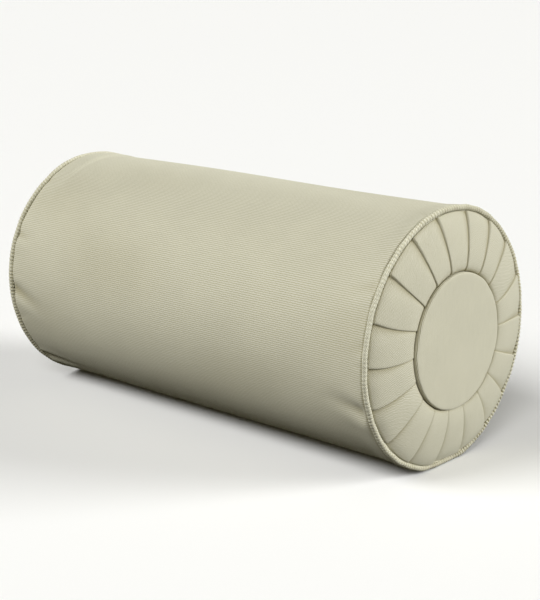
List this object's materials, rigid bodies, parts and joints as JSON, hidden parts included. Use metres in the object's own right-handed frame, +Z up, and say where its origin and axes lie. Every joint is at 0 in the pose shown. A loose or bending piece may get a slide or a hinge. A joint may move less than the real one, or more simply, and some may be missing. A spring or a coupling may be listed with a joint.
{
  "type": "bolster pillow",
  "caption": "Round bolster pillow with piped seams, knife-pleated ends gathered under a covered disc, a zip along the back and a separate filled insert.",
  "frame": {"origin": "on the floor, under the middle of the bolster", "axes": "+X along the bolster's axis towards the end where the zip closes, +Z up, +Y towards the side with the zip"},
  "size_m": [0.4112, 0.2, 0.1978],
  "materials": {
    "cover_fabric": "woven slub cloth, matt, sand beige",
    "cotton_cord": "twisted cotton cord",
    "wadding": "needled wadding",
    "fibreboard": "bare pressed board",
    "twine": "waxed twine",
    "insert_cotton": "plain white downproof cotton",
    "fibre_filling": "hollow polyester fibre",
    "zip_tape": "woven herringbone tape",
    "zip_coil": "dyed nylon filament",
    "zip_metal": "nickel plated, satin"
  },
  "bodies": {
    "cover": {"cover_sleeve": "cover_fabric", "pleated_end_left": "cover_fabric", "piping_strip_left": "cover_fabric", "piping_cord_left": "cotton_cord", "disc_cover_left": "cover_fabric", "disc_pad_left": "wadding", "disc_former_left": "fibreboard", "disc_backing_left": "fibreboard", "disc_twine_left": "twine", "insert_casing_end_left": "insert_cotton", "pleated_end_right": "cover_fabric", "piping_strip_right": "cover_fabric", "piping_cord_right": "cotton_cord", "disc_cover_right": "cover_fabric", "disc_pad_right": "wadding", "disc_former_right": "fibreboard", "disc_backing_right": "fibreboard", "disc_twine_right": "twine", "insert_casing_end_right": "insert_cotton", "insert_casing_tube": "insert_cotton", "insert_filling": "fibre_filling", "zip_tape_upper": "zip_tape", "zip_coil_upper": "zip_coil", "zip_top_stop_upper": "zip_metal", "zip_tape_lower": "zip_tape", "zip_coil_lower": "zip_coil", "zip_top_stop_lower": "zip_metal", "zip_bottom_stop": "zip_metal"},
    "zip_slider": {"zip_slider": "zip_metal"},
    "zip_pull": {"zip_pull": "zip_metal"}
  },
  "joints": [
    {"name": "zip_slide", "type": "slide", "parent": "cover", "child": "zip_slider", "axis": [-1, 0, 0], "range_m": [0, 0.285], "deforming": ["zip_coil_upper", "zip_coil_lower"]},
    {"name": "zip_pull_hinge", "type": "hinge", "parent": "zip_slider", "child": "zip_pull", "pos_m": [0.1442, 0.09491, 0.13234], "axis": [0, 0.342, -0.9397], "range_deg": [0, 180]}
  ]
}
